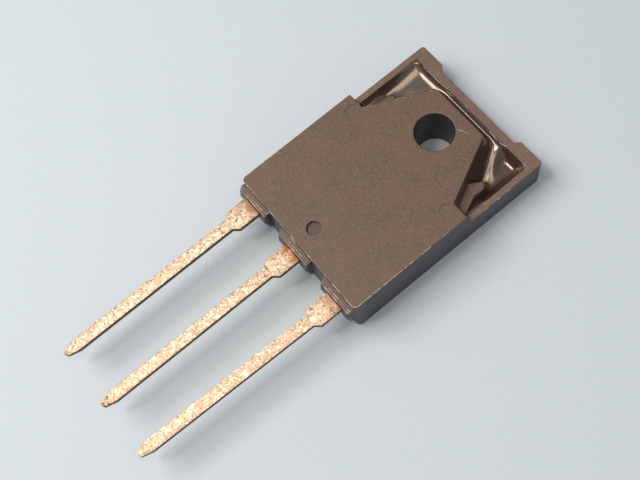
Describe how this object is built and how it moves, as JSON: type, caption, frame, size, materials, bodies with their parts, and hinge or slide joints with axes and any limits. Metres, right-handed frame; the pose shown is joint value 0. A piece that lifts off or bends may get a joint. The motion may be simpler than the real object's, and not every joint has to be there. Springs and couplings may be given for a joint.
{
  "type": "insulated gate bipolar transistor",
  "caption": "Flat moulded power transistor with a mounting hole, stepped corner pockets, a rim channel and straight stamped leads held in raised blocks.",
  "frame": {"origin": "the mounting hole's axis at the body's back face", "axes": "+X across the row of leads, +Y from the leads towards the mounting hole's end, +Z from the back face to the main face"},
  "size_m": [0.015, 0.0401, 0.005],
  "materials": {
    "moulding_compound": "matte moulded, glossy in the pockets",
    "plated_copper": "tinned copper, dull and speckled",
    "silicon": "polished",
    "solder": "satin",
    "bond_wire": "drawn wire"
  },
  "bodies": {
    "root": {"housing": "moulding_compound", "gate_lead": "plated_copper", "collector_lead": "plated_copper", "emitter_lead": "plated_copper", "chip": "silicon", "solder_layer": "solder", "gate_wire": "bond_wire", "emitter_wire_inner": "bond_wire", "emitter_wire_outer": "bond_wire"}
  },
  "joints": []
}
